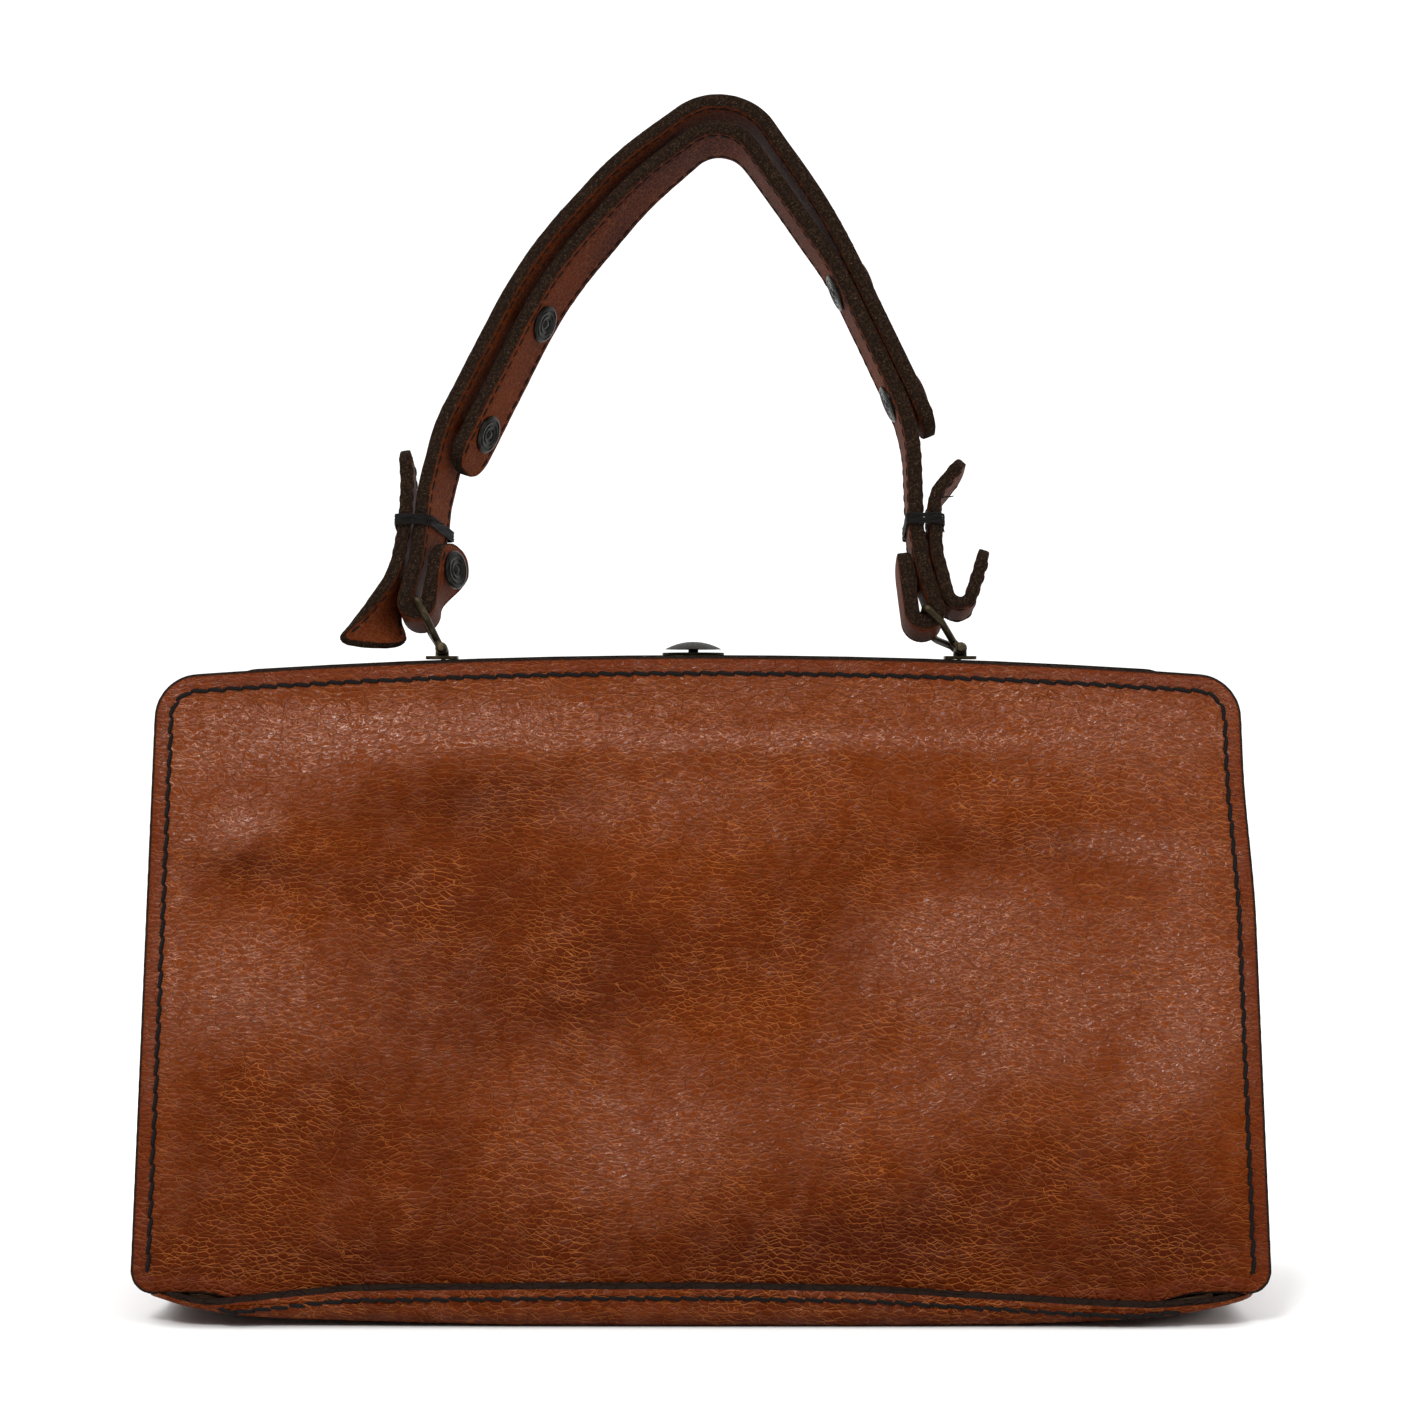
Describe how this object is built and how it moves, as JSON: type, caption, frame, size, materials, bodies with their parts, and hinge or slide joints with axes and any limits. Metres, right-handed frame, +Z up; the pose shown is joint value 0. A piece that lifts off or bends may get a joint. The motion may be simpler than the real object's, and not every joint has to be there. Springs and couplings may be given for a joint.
{
  "type": "doctor bag",
  "caption": "Framed leather bag with a wedge body, two hinged jaws under an arched mouth, a push clasp and a two-strap handle on wire loops.",
  "frame": {"origin": "on the ground under the middle of the bag", "axes": "+Z up, +X along the bag, -Y is the rear panel, the side without a pocket or latch trim that the handle hangs from"},
  "size_m": [0.341, 0.1194, 0.3865],
  "materials": {
    "pebbled_leather": "pebbled, semi gloss",
    "edge_leather": "raw edge, worn",
    "strap_leather": "smooth, worn",
    "lining_cloth": "matt twill",
    "board": "pressed board",
    "aged_bronze": "aged",
    "clasp_bronze": "dull dome",
    "snap_metal": "gun metal, ringed",
    "steel": "satin",
    "thread": "waxed"
  },
  "bodies": {
    "root": {"base_panel": "pebbled_leather", "base_board": "board", "rear_panel": "pebbled_leather", "front_panel": "pebbled_leather", "rear_panel_flex": "pebbled_leather", "front_panel_flex": "pebbled_leather", "left_gusset": "pebbled_leather", "right_gusset": "pebbled_leather", "left_gusset_flex": "pebbled_leather", "right_gusset_flex": "pebbled_leather", "lining": "lining_cloth", "rear_lining_flex": "lining_cloth", "front_lining_flex": "lining_cloth"},
    "rear_jaw": {"rear_frame": "aged_bronze", "rear_panel_top": "pebbled_leather", "rear_facing": "edge_leather", "hinge_pins": "steel", "hinge_washers": "steel", "clasp_keeper": "steel", "left_lug": "aged_bronze", "right_lug": "aged_bronze", "left_lug_pin": "aged_bronze", "right_lug_pin": "aged_bronze"},
    "front_jaw": {"front_frame": "aged_bronze", "front_panel_top": "pebbled_leather", "front_facing": "edge_leather", "clasp_housing": "steel", "clasp_bezel": "aged_bronze", "clasp_spring": "steel"},
    "clasp": {"clasp_button": "clasp_bronze", "clasp_latch": "steel"},
    "left_ring": {"left_loop": "aged_bronze"},
    "right_ring": {"right_loop": "aged_bronze"},
    "handle": {"outer_strap_face": "strap_leather", "outer_strap_back": "strap_leather", "inner_strap_face": "strap_leather", "inner_strap_back": "strap_leather", "inner_snap_caps": "snap_metal", "outer_snap_caps": "snap_metal", "ring_snap_caps": "snap_metal", "snap_sockets": "snap_metal", "snap_studs": "snap_metal", "left_outer_tab": "strap_leather", "right_outer_tab": "strap_leather", "left_whipping": "thread", "right_whipping": "thread"}
  },
  "joints": [
    {"name": "rear_jaw_open", "type": "hinge", "parent": "root", "child": "rear_jaw", "pos_m": [0, 0, 0.146], "axis": [1, 0, 0], "range_deg": [0, 60], "deforming": ["rear_panel_flex", "rear_lining_flex", "left_gusset_flex", "right_gusset_flex"]},
    {"name": "front_jaw_open", "type": "hinge", "parent": "root", "child": "front_jaw", "pos_m": [0, 0, 0.146], "axis": [-1, 0, 0], "range_deg": [0, 60], "deforming": ["front_panel_flex", "front_lining_flex"]},
    {"name": "clasp_press", "type": "slide", "parent": "front_jaw", "child": "clasp", "axis": [0, 0, -1], "range_m": [0, 0.001], "stiffness_N_per_m": 1500, "springref_m": -0.001, "deforming": ["clasp_spring"]},
    {"name": "left_ring_swing", "type": "hinge", "parent": "rear_jaw", "child": "left_ring", "pos_m": [-0.0818, -0.0052, 0.20221], "axis": [0, 0.9703, -0.2419], "range_deg": [-8, 42]},
    {"name": "right_ring_swing", "type": "hinge", "parent": "rear_jaw", "child": "right_ring", "pos_m": [0.0818, -0.0052, 0.20221], "axis": [0, 0.9703, -0.2419], "range_deg": [-9.5, 46.5]},
    {"name": "handle_turn", "type": "hinge", "parent": "left_ring", "child": "handle", "pos_m": [-0.0894, -0.00174, 0.21608], "axis": [0, 0.9703, -0.2419], "range_deg": [-44, 9]}
  ],
  "couplings": [
    {"joint": "handle_turn", "follows": "left_ring_swing", "ratio": -1.03},
    {"joint": "right_ring_swing", "follows": "left_ring_swing", "ratio": 1.09}
  ]
}
